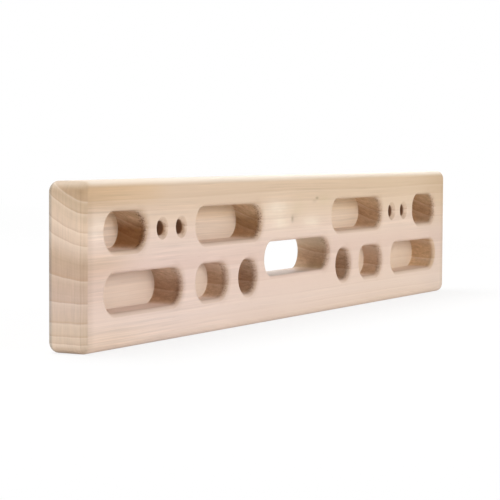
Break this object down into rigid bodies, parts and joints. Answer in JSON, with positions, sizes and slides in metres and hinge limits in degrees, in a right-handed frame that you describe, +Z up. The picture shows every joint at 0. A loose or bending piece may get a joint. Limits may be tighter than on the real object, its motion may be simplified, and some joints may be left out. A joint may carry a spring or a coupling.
{
  "type": "wooden hangboard",
  "caption": "Wooden climbing hangboard: a rounded plank with finger pockets in two rows, a through slot in the middle and sunk wall screws on washers",
  "frame": {"origin": "middle of the board's flat bottom face", "axes": "X runs along the board, Y points into the wall behind it, Z is up, and the climber stands on the -Y side"},
  "size_m": [0.65, 0.0709, 0.12],
  "materials": {
    "wood": "sanded bare hardwood, matt, fine grain along the board",
    "screw_zinc": "bright zinc-plated steel, lightly dulled",
    "washer_zinc": "bright zinc-plated steel, stamped"
  },
  "bodies": {
    "root": {"board": "wood", "screw_left_outer": "screw_zinc", "screw_left_inner": "screw_zinc", "screw_right_inner": "screw_zinc", "screw_right_outer": "screw_zinc", "washer_left_outer": "washer_zinc", "washer_left_inner": "washer_zinc", "washer_right_inner": "washer_zinc", "washer_right_outer": "washer_zinc"}
  },
  "joints": []
}
